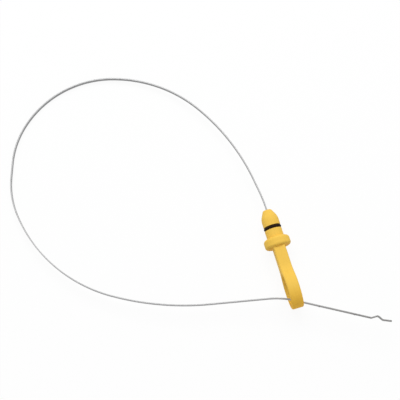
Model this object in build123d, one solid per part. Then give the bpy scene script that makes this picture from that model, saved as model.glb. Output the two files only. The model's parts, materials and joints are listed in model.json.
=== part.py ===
from build123d import *
import os
from math import asin, cos, degrees, radians, sin, tan

# Engine oil dipstick, bowed and threaded through its own finger ring as it is shipped.
# Millimetres and degrees. Its own frame has the origin on the plug's axis, in the plane of
# the flange's shoulder, with +Y towards the nose, the finger ring in the YZ plane and the
# bow of the blade in the XY plane. The last step lays it down on the floor.

# Plug
plug_radius = 6.1
nose_length = 20.8
nose_tip_radius = 3.05
nose_half_angle = 27.0
nose_blend_radius = 10.0
nose_tip_round = 1.0
land_root_fillet = 0.4

# Seal ring and its groove; the seal stands a little proud of the plug
seal_section = 2.0
seal_proud = 0.2
seal_from_shoulder = 7.5
seal_seat_gap = 0.04
groove_width = 2.5
groove_lip_round = 0.3

# Flange
flange_radius = 9.3
flange_thickness = 6.9
flange_front_round = 2.3
flange_back_round = 1.9

# Neck and finger ring, both of the same width across
grip_width = 8.5
neck_depth = 13.0
neck_root_fillet = 0.4
ring_outer_radius = 13.9
ring_wall = 2.5
ring_rim_flat = 0.2
ring_from_shoulder = 37.7
ring_crotch_fillet = 12.0

# Gauge blade, standing on edge
blade_width = 3.0
blade_thickness = 0.9
anchor_length = 16.5
anchor_hole_radius = 0.8
anchor_hole_from_end = 3.5

# Bow of the blade, from the nose round to the finger ring: radius and turn of each bend
exit_radius = 120.0
exit_turn = 7.5
lead_run = 9.25
rise_radius = 154.0
rise_turn = 25.0
shoulder_radius = 97.0
shoulder_turn = 41.0
crest_radius = 71.0
crest_turn = 61.0
side_radius = 62.0
side_turn = 52.5
return_radius = 105.0
return_turn = 51.0
closing_radius = 196.0
thread_radius = 60.0
thread_turn = 18.5
thread_clearance = 0.2

# Straight tail, its two pressed level marks and the kink before the tip
tail_slope = 30.0
first_mark = 16.5
mark_spacing = 24.5
mark_punch_radius = 0.6
mark_depth = 0.4
tail_run = 52.2
kink_radius = 1.6
kink_rise = 30.0
kink_rise_run = 3.4
kink_fall = 58.0
kink_fall_run = 2.9
kink_level = 34.0
tip_run = 5.7
tip_round = 1.2

# Lying on the floor: it leans along this heading until the bow touches, then turns on the spot
lean_heading = 113.0
lie_turn = 16.6

# Worked out from the sizes above
half_grip = grip_width / 2
ring_hole_radius = ring_outer_radius - ring_wall
grip_edge_round = (ring_wall - ring_rim_flat) / 2
half_blade = blade_thickness / 2
seal_major_radius = plug_radius + seal_proud - seal_section / 2
groove_radius = plug_radius + seal_proud - seal_section - seal_seat_gap
nose_cone_length = (plug_radius - nose_tip_radius) / tan(radians(nose_half_angle))
shoulder_room = flange_radius - plug_radius - 1.5 * land_root_fillet


def along(heading, length=1.0):
    """A step of the given length along a heading in the XY plane."""
    return Vector(length * cos(radians(heading)), length * sin(radians(heading)))


def nearest_corner(shape, *place):
    return shape.vertices().sort_by_distance(place)[0]


# Handle: the turned half, with the nose, the seal groove, the land and the flange
def turned_half():
    groove_top = seal_from_shoulder + groove_width / 2
    groove_foot = seal_from_shoulder - groove_width / 2
    cone_foot = nose_length - nose_cone_length
    outline = make_face(
        Polyline(
            (0, nose_length),
            (nose_tip_radius, nose_length),
            (plug_radius, cone_foot),
            (plug_radius, groove_top),
            (groove_radius, groove_top),
            (groove_radius, groove_foot),
            (plug_radius, groove_foot),
            (plug_radius, 0),
            (flange_radius, 0),
            (flange_radius, -flange_thickness),
            (0, -flange_thickness),
            close=True,
        )
    )
    rounds = (
        (nose_tip_radius, nose_length, nose_tip_round),
        (plug_radius, cone_foot, nose_blend_radius),
        (plug_radius, groove_top, groove_lip_round),
        (plug_radius, groove_foot, groove_lip_round),
        (plug_radius, 0, land_root_fillet),
        (flange_radius, 0, min(flange_front_round, shoulder_room)),
        (flange_radius, -flange_thickness, flange_back_round),
    )
    for x, y, radius in rounds:
        outline = fillet(nearest_corner(outline, x, y, 0), radius)
    return revolve(outline, axis=Axis.Y)


# Handle: the flat half, a neck that opens into the finger ring
def grip():
    ring_middle = Pos(-ring_from_shoulder, 0)
    neck_length = ring_from_shoulder - flange_thickness / 2
    neck = Pos(-ring_from_shoulder + neck_length / 2, 0) * Rectangle(neck_length, neck_depth)
    outline = ring_middle * Circle(ring_outer_radius) + neck
    crotch = -ring_from_shoulder + (ring_outer_radius**2 - (neck_depth / 2) ** 2) ** 0.5
    for side in (-1, 1):
        corner = nearest_corner(outline, crotch, side * neck_depth / 2, 0)
        outline = fillet(corner, ring_crotch_fillet)
    outline -= ring_middle * Circle(ring_hole_radius)
    body = extrude(Plane.YZ * outline, half_grip, both=True)
    sides = body.faces().sort_by(Axis.X)
    return fillet(sides[0].edges() + sides[-1].edges(), grip_edge_round)


def handle_moulding(blade):
    plug = turned_half()
    flat = grip()
    body = plug + flat
    neck_root = new_edges(plug, flat, combined=body)
    body = fillet(neck_root, neck_root_fillet)
    return body - blade


def seal_ring():
    return Pos(0, seal_from_shoulder, 0) * Rot(90, 0, 0) * Torus(seal_major_radius, seal_section / 2)


# Gauge blade: a route of runs and bends, each a length and a turn to the left
def run(length):
    return (length, 0.0)


def bend(radius, turn):
    return (radius * radians(abs(turn)), turn)


def step(piece, heading, share=1.0):
    """The straight-line move made by a share of a run or bend that starts along a heading."""
    length, turn = piece[0] * share, piece[1] * share
    half_turn = radians(turn) / 2
    chord = length * sin(half_turn) / half_turn if turn else length
    return along(heading + turn / 2, chord)


def route_end(start, heading, route):
    for piece in route:
        start = start + step(piece, heading)
        heading += piece[1]
    return start, heading


def threading_point():
    """Where the tail's line crosses the plug's axis plane: it lies on the ring's rounded inner edge."""
    edge_x = half_grip - grip_edge_round
    edge_y = -ring_from_shoulder - ring_hole_radius - grip_edge_round
    stand_off = grip_edge_round + half_blade + thread_clearance
    return Vector(0, edge_y + edge_x * tan(radians(tail_slope)) + stand_off / cos(radians(tail_slope)))


def bow_route():
    """The bends from the nose to the threading point, with the two straight runs that close the bow:
    one in the middle of the far side and one back to the ring."""
    going = [
        bend(exit_radius, exit_turn),
        run(lead_run),
        bend(rise_radius, rise_turn),
        bend(shoulder_radius, shoulder_turn),
        bend(crest_radius, crest_turn),
        bend(side_radius, side_turn / 2),
    ]
    far_start, far_heading = route_end(Vector(0, nose_length), 90, going)
    back_heading = 360 - tail_slope + thread_turn
    closing_turn = back_heading - far_heading - side_turn / 2 - return_turn
    coming = [
        bend(side_radius, side_turn / 2),
        bend(return_radius, return_turn),
        bend(closing_radius, closing_turn),
    ]
    coming_end, _ = route_end(far_start, far_heading, coming)
    last_bend = bend(thread_radius, -thread_turn)
    gap = threading_point() - coming_end - step(last_bend, back_heading)
    far, back = along(far_heading), along(back_heading)
    spread = far.X * back.Y - far.Y * back.X
    far_run = (gap.X * back.Y - gap.Y * back.X) / spread
    back_run = (far.X * gap.Y - far.Y * gap.X) / spread
    return going + [run(far_run)] + coming + [run(back_run), last_bend]


def tail_route():
    return [
        run(tail_run),
        bend(kink_radius, kink_rise),
        run(kink_rise_run),
        bend(kink_radius, -kink_fall),
        run(kink_fall_run),
        bend(kink_radius, kink_level),
        run(tip_run),
    ]


def side_line(start, heading, route, offset):
    """One face of the blade seen from above: the route shifted to the left by an offset."""
    edges = []
    for piece in route:
        ends = []
        for share in (0, 0.5, 1):
            place = start + step(piece, heading, share) if share else start
            ends.append(place + along(heading + piece[1] * share + 90, offset))
        edges.append(ThreePointArc(*ends) if piece[1] else Line(ends[0], ends[2]))
        start = start + step(piece, heading)
        heading += piece[1]
    return edges


def pressed_mark(from_threading):
    """A round mark pressed through the tail: the dent on one face and the bump on the other."""
    slope = -tail_slope
    middle = threading_point() + along(slope, from_threading)
    centre = middle + along(slope + 90, half_blade + mark_punch_radius - mark_depth)
    dent = Pos(*centre) * Sphere(mark_punch_radius)
    ball = Pos(*centre) * Sphere(mark_punch_radius + blade_thickness)
    mid_plane = Plane(origin=middle, z_dir=along(slope - 90))
    return split(ball, bisect_by=mid_plane, keep=Keep.TOP), dent


def gauge_blade():
    anchor_end = Vector(0, nose_length - anchor_length)
    route = [run(anchor_length)] + bow_route() + tail_route()
    left = side_line(anchor_end, 90, route, half_blade)
    right = side_line(anchor_end, 90, route, -half_blade)
    caps = [Line(right[0] @ 0, left[0] @ 0), Line(left[-1] @ 1, right[-1] @ 1)]
    strip = extrude(make_face(left + right + caps), blade_width / 2, both=True)
    tip, _ = route_end(anchor_end, 90, route)
    tip_face = strip.faces().sort_by_distance(tip)[0]
    corners = tip_face.edges().filter_by(GeomType.LINE).sort_by(Axis.Z)
    strip = fillet([corners[0], corners[-1]], tip_round)
    for from_threading in (first_mark, first_mark + mark_spacing):
        bump, dent = pressed_mark(from_threading)
        strip = strip + bump - dent
    hole_place = Pos(0, anchor_end.Y + anchor_hole_from_end, 0) * Rot(0, 90, 0)
    return strip - hole_place * Cylinder(anchor_hole_radius, 4 * blade_thickness)


# Laying down: the ring's lower edge and the far side of the bow come to the same level
def lean_angle(blade):
    reach = (Rot(0, 0, -lean_heading) * blade).bounding_box().max.X
    ring_foot = Vector(-(half_grip - grip_edge_round), -ring_from_shoulder)
    ring_along = ring_foot.dot(along(lean_heading))
    return degrees(asin((ring_outer_radius - blade_width / 2) / (reach - ring_along)))


def lying_place(pieces, lean):
    turned = Rot(0, 0, lean_heading + lie_turn) * Rot(0, lean, 0) * Rot(0, 0, -lean_heading)
    box = Compound(children=[turned * piece for piece in pieces]).bounding_box()
    middle = box.center()
    return Pos(-middle.X, -middle.Y, -box.min.Z) * turned


blade = gauge_blade()
pieces = {
    "handle": handle_moulding(blade),
    "seal_ring": seal_ring(),
    "gauge_blade": blade,
}
place = lying_place(pieces.values(), lean_angle(blade))
os.makedirs("parts", exist_ok=True)
for name, piece in pieces.items():
    export_step(place * piece, f"parts/{name}.step")
    print(name, "volume", round(piece.volume, 1))
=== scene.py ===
# %% [markdown]
# # An engine oil dipstick
# A yellow moulded handle, a black seal ring and a long flat steel blade, bowed round and threaded
# through the handle's own finger ring. The rigid solids come from CAD. This lesson dresses them:
# a finer blade worked out with numpy, three procedural finishes, soft light and one camera.

# %% Load the packed part
import json
from math import cos, radians, sin

import bpy
import numpy as np
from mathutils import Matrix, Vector


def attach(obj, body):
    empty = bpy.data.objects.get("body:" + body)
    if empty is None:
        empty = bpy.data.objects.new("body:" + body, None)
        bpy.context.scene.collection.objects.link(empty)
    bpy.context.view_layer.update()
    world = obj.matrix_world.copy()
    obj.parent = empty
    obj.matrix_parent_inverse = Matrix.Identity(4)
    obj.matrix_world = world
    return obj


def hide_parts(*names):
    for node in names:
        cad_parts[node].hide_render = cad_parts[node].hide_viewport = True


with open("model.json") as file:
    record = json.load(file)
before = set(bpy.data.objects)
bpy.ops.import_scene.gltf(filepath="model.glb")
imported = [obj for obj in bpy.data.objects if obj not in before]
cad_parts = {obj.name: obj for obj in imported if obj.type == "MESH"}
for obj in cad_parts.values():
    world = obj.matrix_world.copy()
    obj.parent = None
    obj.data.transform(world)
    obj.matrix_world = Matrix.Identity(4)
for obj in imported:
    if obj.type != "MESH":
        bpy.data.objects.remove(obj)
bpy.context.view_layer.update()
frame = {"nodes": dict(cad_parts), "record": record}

MM = 0.001

# %% [markdown]
# The dipstick lies with a lean: the finger ring holds one side of it up. Most of its patterns follow
# the handle's own axes instead of the floor. Typing the lean in again would tie this script to one
# way of lying, so the axes are read from the record: the plug's mount gives the axis, and the
# shoulder's mount, which lies to one side of it, gives the direction across.

# %% The handle's own axes
mounts = {mount["name"]: mount for mount in frame["record"]["mounts"]}
plug_place = np.array(mounts["tube_plug"]["pos_m"])
shoulder_place = np.array(mounts["shoulder"]["pos_m"])
axis_along = np.array(mounts["tube_plug"]["axis"])
axis_along /= np.linalg.norm(axis_along)
shoulder_centre = plug_place - axis_along * np.dot(plug_place - shoulder_place, axis_along)
axis_across = shoulder_centre - shoulder_place
axis_across /= np.linalg.norm(axis_across)
axis_up = np.cross(axis_across, axis_along)
own_axes = np.stack([axis_across, axis_along, axis_up])
print("plug axis:", axis_along.round(4).tolist())
print("shoulder centre in mm:", (shoulder_centre / MM).round(2).tolist())

# %% [markdown]
# The blade is a strip of spring steel that stands on edge. On the real one it leaves the plug, makes
# the bow, passes the ring, and ends in a straight tail with a small kink. A curve object with a bevel
# could follow that line, but it would twist at the kink and give no hold for the two pressed marks.
# Here the line is a list of runs and bends, in mm and degrees, each kept as its length and its turn.

# %% Runs and bends of the blade
def run(length):
    """A straight run: its length, and no turn."""
    return (length, 0)


def bend(radius, turn):
    """A bend: its length is the radius times the turn in radians, and a turn to the left is positive."""
    return (radius * radians(abs(turn)), turn)


held_run = 16.5
tail_run = 52.2
kink_radius = 1.6
open_run = run(0)
far_bend = bend(62, 26.25)
going = [bend(120, 7.5), run(9.25), bend(154, 25), bend(97, 41), bend(71, 61), far_bend]
coming = [far_bend, bend(105, 51), bend(196, 20.5)]
threading = bend(60, -18.5)
kink = [bend(kink_radius, 30), run(3.4), bend(kink_radius, -58), run(2.9)]
kink += [bend(kink_radius, 34), run(5.7)]
route = np.array([run(held_run), *going, open_run, *coming, open_run, threading, run(tail_run), *kink])
print("runs and bends:", len(route), "turn from end to end in degrees:", route[:, 1].sum())

# %% [markdown]
# Such a list says how the heading goes: level along a run, and evenly up or down along a bend. The
# places follow by adding up chords. A chord is a little shorter than its arc, and the sine of half the
# turn says by how much, so a long step is as exact as a short one.

# %% Tracing the line
def running_total(values):
    """The sum of the values before each knot of the route, from zero to the whole sum."""
    return np.concatenate([[0], np.cumsum(values)])


def trace(start, rows, knots, headings):
    """Heading and place at each row. The heading goes evenly from knot to knot. A step is a chord along
    the mean heading, as long as its arc times the sine of half its turn over half its turn."""
    heading = np.interp(rows, knots, headings)
    half_turn = np.diff(heading) / 2
    chord = np.diff(rows) * np.sinc(half_turn / np.pi)
    middle = heading[:-1] + half_turn
    moves = np.stack([chord * np.cos(middle), chord * np.sin(middle)], 1)
    return heading, np.cumsum(np.concatenate([[start], moves]), 0)


nose_end = 20.8
plug_heading = 90
line_start = (0, nose_end - held_run)
knots = running_total(route[:, 0])
knot_headings = np.radians(plug_heading + running_total(route[:, 1]))
loose_end = trace(line_start, knots, knots, knot_headings)[1][-1]
print("loose end in the handle's own mm:", loose_end.round(2).tolist())

# %% [markdown]
# Two straight runs are still open, one on the far side of the bow and one back to the ring. On the real
# one they are what lets the springy strip close its bow. Typing their lengths in would be guessing, so
# they are solved: what the loose end lacks to the tip of the CAD blade is shared out between the
# directions of the two runs.

# %% Runs that close the bow
def points_of(mesh):
    """A mesh's points as an array, one row for each."""
    points = np.empty(len(mesh.vertices) * 3, np.float32)
    mesh.vertices.foreach_get("co", points)
    return points.reshape(-1, 3).astype(float)


def stand_up(floor_m):
    """From the floor's frame to the handle's own, in mm: the dot product of the way from the centre with
    each own axis."""
    return (floor_m - shoulder_centre) @ own_axes.T / MM


end_face_depth = 0.01
cad_flat = stand_up(points_of(frame["nodes"]["gauge_blade"].data))[:, :2]
tip_reach = cad_flat @ [cos(knot_headings[-1]), sin(knot_headings[-1])]
tip_corners = cad_flat[tip_reach > tip_reach.max() - end_face_depth]
tip = (tip_corners.min(0) + tip_corners.max(0)) / 2
open_runs = np.flatnonzero(route[:, 0] == 0)
open_ways = np.stack([np.cos(knot_headings[open_runs]), np.sin(knot_headings[open_runs])])
route[open_runs, 0] = np.linalg.solve(open_ways, tip - loose_end)
knots = running_total(route[:, 0])
blade_length = knots[-1]
print("runs that close the bow in mm:", route[open_runs, 0].round(3).tolist())
print("blade length in mm:", round(blade_length, 1))

# %% [markdown]
# A grid needs rows only where the shape changes. The bow is happy with a row every millimetre or so,
# the pressed marks need rows a tenth of a millimetre apart, and the kink and the rounded tip something
# between. All rows go into one sorted list.

# %% Rows along the blade
first_mark = 16.5
mark_spacing = 24.5
mark_zone = 1.3
mark_row_count = 31
tip_zone = 1.5
tip_row_count = 16
kink_lead = 1.0
kink_step = 0.2
bow_step = 1.2
least_step = 0.004
kink_start = knots[-len(kink) - 1]
tail_start = kink_start - tail_run
mark_places = tail_start + first_mark + mark_spacing * np.arange(2)
mark_rows = mark_places[:, None] + np.linspace(-mark_zone, mark_zone, mark_row_count)
kink_rows = np.arange(kink_start - kink_lead, blade_length - tip_zone, kink_step)
tip_rows = blade_length - tip_zone * np.linspace(1, 0, tip_row_count) ** 2
bow_rows = np.arange(0, blade_length, bow_step)
rows = np.concatenate([knots, bow_rows, kink_rows, tip_rows, mark_rows.ravel()])
rows = np.unique(rows.round(3))
rows = rows[np.concatenate([[True], np.diff(rows) > least_step])]
heading, line = trace(line_start, rows, knots, knot_headings)
print("rows:", len(rows), "tail tip in the handle's own mm:", line[-1].round(2).tolist())

# %% [markdown]
# The strip's edges were dressed after it was slit from its coil, so they are a little round, and that
# round edge is what catches the light on the real blade. A Bevel modifier could round a square strip,
# but it would also round the marks. So the section is a loop of points: one flat face, a rounded edge,
# the other face and the other edge. A rounded edge is two quarter circles with a short flat between.

# %% Section of the blade
half_width = 1.5
half_thickness = 0.45
edge_round = 0.25
face_points = 25
quarter_steps = 4
face_across = np.linspace(-1, 1, face_points) * (half_width - edge_round)
face_off = np.full(face_points, half_thickness)
quarter = np.radians(np.linspace(0, 90, quarter_steps + 1))[1:]
quarter_across = half_width - edge_round + edge_round * np.sin(quarter)
quarter_off = half_thickness - edge_round + edge_round * np.cos(quarter)
edge_across = np.concatenate([quarter_across, quarter_across[::-1]])
edge_off = np.concatenate([quarter_off, -quarter_off[::-1]])
section_across = np.concatenate([face_across, edge_across, -face_across, -edge_across])
section_off = np.concatenate([face_off, edge_off, -face_off, -edge_off])
print("points in the section:", len(section_off))

# %% [markdown]
# The section is carried along the line, and at the tip its width closes in on two rounded corners. The
# level marks are pressed through with a small punch: a dent on one face and a dome on the other.
# Cutting them in would need a boolean. Moving the grid's own points is simpler: a smooth hump that is
# one at its centre and dies away at its foot is taken off one face and added to the other.

# %% Surface of the blade
def hump(distance, reach):
    """One at the centre, zero from the reach on, and level at both: the distance's share of the reach is
    squared and taken from one, and the rest is squared again."""
    return np.clip(1 - (distance / reach) ** 2, 0, None) ** 2


def tip_width(to_tip, corner):
    """Half the width near the tip: the full one, less a corner's radius, plus the height of a circle of
    that radius at this distance from the tip."""
    inside = np.clip(corner - to_tip, 0, corner)
    return half_width - corner + np.sqrt(corner**2 - inside**2)


tip_corner = 1.2
mark_depth = 0.4
dent_reach = 0.75
dome_reach = 1.1
face_depth = 0.01
along = np.repeat(rows[:, None], len(section_off), 1)
across = section_across * (tip_width(blade_length - rows, tip_corner) / half_width)[:, None]
off = np.repeat(section_off[None, :], len(rows), 0)
on_face = np.abs(off) > half_thickness - face_depth
mark_reach = np.where(off > 0, dent_reach, dome_reach)
for mark_place in mark_places:
    off = off - mark_depth * on_face * hump(np.hypot(along - mark_place, across), mark_reach)
left = np.stack([-np.sin(heading), np.cos(heading)], 1)
flat_place = line[:, None, :] + off[..., None] * left[:, None, :]
surface = np.concatenate([flat_place, across[..., None]], -1)
print("surface grid:", surface.shape)

# %% [markdown]
# A grid of points becomes a mesh by joining each point to its neighbours in the next row. The loop of
# the section closes on itself, and one many-sided face shuts each end. Two attributes go with it, the
# place along and the place across, because the rolling grain of the steel has to follow the bow.

# %% Mesh of the blade
def lay_down(own_mm):
    """From the handle's own frame, in mm, to the floor's: the centre plus each own axis times its share."""
    return shoulder_centre + (own_mm * MM) @ own_axes


def strip_mesh(name, grid, sharp_from, **attributes):
    """A closed strip: four-sided faces from each row to the next, all round the loop, and one face at each
    end. Edges that turn by more than sharp_from degrees stay sharp."""
    count, around = grid.shape[:2]
    index = np.arange(count * around).reshape(count, around)
    ahead = np.roll(index, -1, 1)
    quads = np.stack([index[:-1], ahead[:-1], ahead[1:], index[1:]], -1).reshape(-1, 4)
    ends = [index[0][::-1].tolist(), index[-1].tolist()]
    mesh = bpy.data.meshes.new(name)
    mesh.from_pydata(grid.reshape(-1, 3), [], quads.tolist() + ends)
    for key, values in attributes.items():
        attribute = mesh.attributes.new(key, "FLOAT", "POINT")
        attribute.data.foreach_set("value", values.astype(np.float32).ravel())
    mesh.polygons.foreach_set("use_smooth", np.ones(len(mesh.polygons), bool))
    mesh.set_sharp_from_angle(angle=radians(sharp_from))
    mesh.update()
    return mesh


blade_mesh = strip_mesh("steel_blade", lay_down(surface), sharp_from=50, along=along, across=across)
steel_blade = bpy.data.objects.new("steel_blade", blade_mesh)
bpy.context.collection.objects.link(steel_blade)
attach(steel_blade, "root")
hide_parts("gauge_blade")
print("blade points:", len(blade_mesh.vertices), "faces:", len(blade_mesh.polygons))

# %% [markdown]
# A grid that is joined in the wrong order is inside out, and it can look right all the same. Its volume
# tells: it is positive only when the faces point outwards. It should also come a little short of width
# times thickness times length, because the edges are rounded.

# %% Volume of the blade
def volume_of(mesh):
    """The volumes of the tetrahedra from the origin to each triangle, added up with their signs."""
    mesh.calc_loop_triangles()
    corners = np.empty(len(mesh.loop_triangles) * 3, np.int32)
    mesh.loop_triangles.foreach_get("vertices", corners)
    a, b, c = points_of(mesh)[corners.reshape(-1, 3)].transpose(1, 0, 2)
    return np.einsum("ij,ij->", a, np.cross(b, c)) / 6


blade_volume = volume_of(blade_mesh) / MM**3
square_volume = 4 * half_width * half_thickness * blade_length
print("blade volume in mm3:", round(blade_volume, 1), "with square edges:", round(square_volume, 1))

# %% [markdown]
# Node trees grow long when every sum is placed by hand. A small class that wraps one socket lets a
# finish be written as arithmetic: each operator adds the Math node that it needs, and the reflected
# forms let a plain number stand on the left.

# %% A wire
class Wire:
    """One output socket of a node tree; arithmetic on it adds Math nodes."""

    def __init__(self, nodes, socket):
        self.nodes = nodes
        self.socket = socket

    def math(self, operation, *values):
        return self.nodes.add("ShaderNodeMath", {"operation": operation}, dict(enumerate(values)))

    def __add__(self, other):
        return self.math("ADD", self, other)

    __radd__ = __add__

    def __sub__(self, other):
        return self.math("SUBTRACT", self, other)

    def __rsub__(self, other):
        return self.math("SUBTRACT", other, self)

    def __mul__(self, other):
        return self.math("MULTIPLY", self, other)

    __rmul__ = __mul__

    def __truediv__(self, other):
        return self.math("DIVIDE", self, other)

    def __rtruediv__(self, other):
        return self.math("DIVIDE", other, self)

    def __abs__(self):
        return self.math("ABSOLUTE", self)

    def low(self, limit):
        return self.math("MINIMUM", self, limit)

    def high(self, limit):
        return self.math("MAXIMUM", self, limit)

    def share(self):
        """The value, held between zero and one."""
        return self.high(0.0).low(1.0)


print("a wire can also", ", ".join(name for name in vars(Wire) if not name.startswith("_")))

# %% [markdown]
# Every other node comes from one method, which sets the node's options first and then its sockets. A
# finish is a material's tree with its Principled shader at hand, and with short ways to ask for the few
# nodes that come up again: a mix of colours, a place, a noise and a bump.

# %% A node tree and a finish
class Nodes:
    """A node tree whose nodes are all added by one method."""

    def __init__(self, tree):
        self.tree = tree

    def put(self, socket, value):
        if isinstance(value, Wire):
            self.tree.links.new(value.socket, socket)
        else:
            socket.default_value = value

    def add(self, kind, settings, sockets, out=0):
        node = self.tree.nodes.new(kind)
        for key, value in settings.items():
            setattr(node, key, value)
        for key, value in sockets.items():
            self.put(node.inputs[key], value)
        return Wire(self, node.outputs[out])


class Finish(Nodes):
    """A material with its Principled shader at hand."""

    def __init__(self, name):
        self.material = bpy.data.materials.new(name)
        self.material.use_nodes = True
        super().__init__(self.material.node_tree)
        self.shader = self.tree.nodes["Principled BSDF"]

    def set(self, **sockets):
        for key, value in sockets.items():
            self.put(self.shader.inputs[key.replace("_", " ")], value)

    def mix(self, share, first, second):
        sockets = {0: share, 6: first, 7: second}
        return self.add("ShaderNodeMix", {"data_type": "RGBA"}, sockets, 2)

    def object_place(self):
        return self.add("ShaderNodeTexCoord", {}, {}, "Object")

    def own_place(self, axis):
        """The place along one of the handle's own axes, in mm: the dot product less that of the centre."""
        sockets = {0: self.object_place(), 1: axis}
        reach = self.add("ShaderNodeVectorMath", {"operation": "DOT_PRODUCT"}, sockets, "Value")
        return (reach - float(np.dot(shoulder_centre, axis))) / MM

    def noise(self, place, scale, detail=2.0, roughness=0.5):
        sockets = {"Vector": place, "Scale": scale, "Detail": detail, "Roughness": roughness}
        return self.add("ShaderNodeTexNoise", {}, sockets, "Fac")

    def bump(self, height_mm, strength):
        sockets = {"Strength": strength, "Distance": MM, "Height": height_mm}
        return self.add("ShaderNodeBump", {}, sockets, "Normal")


print("a finish can", ", ".join(name for name in vars(Finish) if not name.startswith("_")))

# %% [markdown]
# The handle is injection moulded in a bright yellow plastic. Close up such a moulding is never one
# flat colour: the skin has a fine satin grain from the tool, the pigment flows in soft bands along the
# part, and where the two halves of the mould met there is a hair-thin raised line. Towards the far end
# of the ring the colour is painted a warmer, deeper orange: painted shade, the warm tone that the ring's
# end takes where it faces away from the lamp. The line lies in the plane of the finger ring, so the
# place across the handle is all that it needs.

# %% Finish of the yellow moulding
deep_yellow = (0.84, 0.530, 0.078, 1)
light_yellow = (0.91, 0.580, 0.100, 1)
# painted shade: the warmer orange that the ring's end takes in its shade
ring_shade_yellow = (0.97, 0.540, 0.052, 1)
line_yellow = (0.70, 0.42, 0.04, 1)
line_half_width = 0.09
ring_middle = -38.0
ring_shade_fade = 14.0
yellow = Finish("yellow_moulding")
across_handle = yellow.own_place(axis_across)
along_handle = yellow.own_place(axis_along)
skin = yellow.noise(yellow.object_place(), scale=2400.0, detail=3.0, roughness=0.6)
flow_place = yellow.add("ShaderNodeCombineXYZ", {}, {0: across_handle * 0.25, 1: along_handle * 0.05})
flow = yellow.noise(flow_place, scale=1.0, detail=3.0)
cloud = yellow.noise(yellow.object_place(), scale=160.0)
parting = (1 - abs(across_handle) / line_half_width).high(0.0)
# painted shade: the colour turns a warmer orange towards the ring's far end, which faces away from the lamp
ring_end_shade = ((ring_middle - along_handle) / ring_shade_fade).share()
tone = yellow.mix(flow * 0.7 + cloud * 0.3, deep_yellow, light_yellow)
tone = yellow.mix(ring_end_shade, tone, ring_shade_yellow)
tone = yellow.mix(parting * 0.35, tone, line_yellow)
yellow.set(Base_Color=tone, Specular_IOR_Level=0.15)
yellow.set(Roughness=0.56 + skin * 0.12 + cloud * 0.05)
yellow.set(Normal=yellow.bump(skin * 0.006 + parting * 0.035, strength=0.8))
frame["nodes"]["handle"].material_slots[0].material = yellow.material
print("yellow moulding:", len(yellow.tree.nodes), "nodes")

# %% [markdown]
# The seal is a moulded rubber ring. Rubber is nearly black, but it is never evenly black: a pale bloom
# comes up in patches, and a thin flash line runs round the outside where its mould closed. Both are
# worked out from places, because a picture wrapped round so small a ring would show its seam.

# %% Finish of the rubber seal
deep_black = (0.009, 0.004, 0.0015, 1)
bloom_black = (0.022, 0.010, 0.004, 1)
seal_from_shoulder = 7.5
flash_half_width = 0.08
rubber = Finish("black_rubber")
from_middle = abs(rubber.own_place(axis_along) - seal_from_shoulder)
flash = (1 - from_middle / flash_half_width).high(0.0)
bloom = rubber.noise(rubber.object_place(), scale=700.0, detail=3.0, roughness=0.6)
grain = rubber.noise(rubber.object_place(), scale=4200.0)
rubber.set(Base_Color=rubber.mix(bloom, deep_black, bloom_black), Specular_IOR_Level=0.1)
rubber.set(Roughness=0.56 + bloom * 0.16)
rubber.set(Normal=rubber.bump(grain * 0.006 + flash * 0.03, strength=0.7))
frame["nodes"]["seal_ring"].material_slots[0].material = rubber.material
print("black rubber:", len(rubber.tree.nodes), "nodes")

# %% [markdown]
# The blade is cold-rolled spring steel. The rolls leave long fine streaks that follow the strip round
# the bow, so the streaks are noise that is stretched along the strip by its two attributes. The strip
# was slit from a wide coil. Its dressed edges, which face the lamp and the camera here, are painted a
# shade paler than its rolled faces: painted light. A thin film of oil takes much of the mirror out of
# it, so it is only partly metallic.
# Towards its tail the blade is a shade darker.

# %% Finish of the spring steel
rolled_tones = [(0.235, 0.235, 0.239, 1), (0.285, 0.285, 0.289, 1)]
# painted light: the edges, which face the lamp and the camera, are painted paler than the faces
lit_edge_tones = [(0.31, 0.31, 0.312, 1), (0.37, 0.37, 0.372, 1)]
# the blade turns a shade darker towards its tail
darker_tail_tones = [(0.185, 0.181, 0.177, 1), (0.23, 0.226, 0.221, 1)]
lit_edge_start = 1.23
lit_edge_fade = 0.1
darker_tail_start = float(tail_start - 20.0)
darker_tail_fade = 60.0
steel = Finish("spring_steel")
steel_along = steel.add("ShaderNodeAttribute", {"attribute_name": "along"}, {}, "Fac")
steel_across = steel.add("ShaderNodeAttribute", {"attribute_name": "across"}, {}, "Fac")
streak_place = steel.add("ShaderNodeCombineXYZ", {}, {0: steel_along * 0.06, 1: steel_across * 9.0})
streak = steel.noise(streak_place, scale=1.0, detail=4.0, roughness=0.65)
patch_place = steel.add("ShaderNodeCombineXYZ", {}, {0: steel_along * 0.03, 1: steel_across * 0.3})
patch = steel.noise(patch_place, scale=1.0)
# painted light: this picks out the edges that face the lamp, for the paler tone
lit_edge = ((abs(steel_across) - lit_edge_start) / lit_edge_fade).share()
# darker towards the tail end, in soft patches
darker_tail = ((steel_along - darker_tail_start) / darker_tail_fade).share() * (0.75 + patch * 0.25)
tone = steel.mix(lit_edge, steel.mix(streak, *rolled_tones), steel.mix(streak, *lit_edge_tones))
tone = steel.mix(darker_tail, tone, steel.mix(streak, *darker_tail_tones))
steel.set(Base_Color=tone, Metallic=0.55, Roughness=0.40 + streak * 0.08 + patch * 0.06)
steel.set(Normal=steel.bump(streak * 0.006, strength=0.5))
steel_blade.data.materials.append(steel.material)
print("spring steel:", len(steel.tree.nodes), "nodes")

# %% [markdown]
# The dipstick lies on white, and the photograph is so evenly lit that its shadow all but goes. A floor
# that only glowed would lose the shadow altogether. So the floor is white paint, and for rays that
# come straight from the camera or from a mirror-like surface most of it is an even glow.

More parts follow.
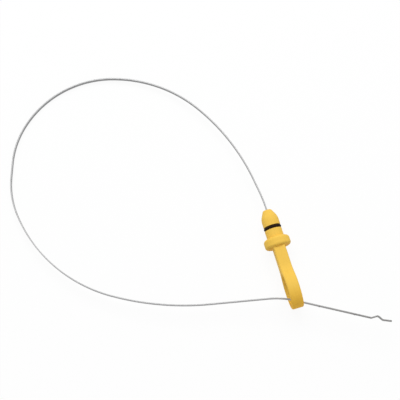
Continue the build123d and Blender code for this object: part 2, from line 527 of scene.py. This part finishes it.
# %% Floor
def looked_at(nodes):
    """One for a ray from the camera, a mirror or a clear body, and zero for a ray that only brings light:
    the sum of those three kinds of ray, at most one."""
    kinds = ("Is Camera Ray", "Is Glossy Ray", "Is Transmission Ray")
    camera_ray, mirror_ray, clear_ray = (nodes.add("ShaderNodeLightPath", {}, {}, kind) for kind in kinds)
    return (camera_ray + mirror_ray + clear_ray).low(1.0)


white = (1, 1, 1, 1)
white_paint = (0.93, 0.93, 0.93, 1)
glow_share = 0.92
floor_reach = 4.0
floor_corners = [(-1, -1, 0), (1, -1, 0), (1, 1, 0), (-1, 1, 0)]
floor_mesh = bpy.data.meshes.new("floor")
floor_mesh.from_pydata(np.array(floor_corners) * floor_reach, [], [(0, 1, 2, 3)])
floor = bpy.data.objects.new("floor", floor_mesh)
bpy.context.collection.objects.link(floor)
paint = Finish("white_floor")
paint.set(Base_Color=white_paint, Roughness=0.9, Specular_IOR_Level=0.0)
painted = Wire(paint, paint.shader.outputs["BSDF"])
glow = paint.add("ShaderNodeEmission", {}, {"Color": white, "Strength": 1.0})
glowing = looked_at(paint) * glow_share
shown = paint.add("ShaderNodeMixShader", {}, {0: glowing, 1: painted, 2: glow})
paint.put(paint.tree.nodes["Material Output"].inputs["Surface"], shown)
floor_mesh.materials.append(paint.material)
print("floor side in m:", 2 * floor_reach, "white floor:", len(paint.tree.nodes), "nodes")

# %% [markdown]
# The sky beyond the floor is white for the same rays, and dimmer where it only brings light, so that
# the lamp still models the forms. The Standard view shows the colours as they were worked out.

# %% World
fill_light = 0.48
world = bpy.data.worlds.new("studio")
world.use_nodes = True
studio = Nodes(world.node_tree)
sky = studio.tree.nodes["Background"]
studio.put(sky.inputs["Color"], white)
studio.put(sky.inputs["Strength"], fill_light + looked_at(studio) * (1 - fill_light))
bpy.context.scene.world = world
bpy.context.scene.view_settings.view_transform = "Standard"
print("sky:", len(studio.tree.nodes), "nodes")

# %% [markdown]
# One large soft lamp stands high towards the top of the picture and a little to the left, so the
# faces that look down the picture, such as the ring's end and the flange's underside, fall off in tone.

# %% Lamp
lamp_data = bpy.data.lights.new("soft_box", "AREA")
lamp_data.shape = "DISK"
lamp_data.size = 1.2
lamp_data.energy = 15.0
lamp = bpy.data.objects.new("soft_box", lamp_data)
lamp.location = (-0.10, 0.75, 1.25)
lamp.rotation_euler = (-lamp.location).to_track_quat("-Z", "Y").to_euler()
bpy.context.collection.objects.link(lamp)
print("lamp at", tuple(round(value, 2) for value in lamp.location))

# %% [markdown]
# The photograph looks almost straight down, from the side of the tail. The camera keeps that angle:
# it stands on a sphere round a point on the floor, and its lens gives the same narrow field of view.

# %% Camera
elevation = radians(77.7)
distance = 0.7718
aim = Vector((0.00232, -0.00078, 0.0))
photo_pixels = 400
focal_pixels = 1074.7
camera_data = bpy.data.cameras.new("camera")
camera_data.sensor_width = 36.0
camera_data.lens = camera_data.sensor_width * focal_pixels / photo_pixels
camera = bpy.data.objects.new("camera", camera_data)
camera.location = aim + distance * Vector((0, -cos(elevation), sin(elevation)))
camera.rotation_euler = (aim - camera.location).to_track_quat("-Z", "Y").to_euler()
bpy.context.collection.objects.link(camera)
bpy.context.scene.camera = camera
print("camera lens in mm:", round(camera_data.lens, 2))

# %% [markdown]
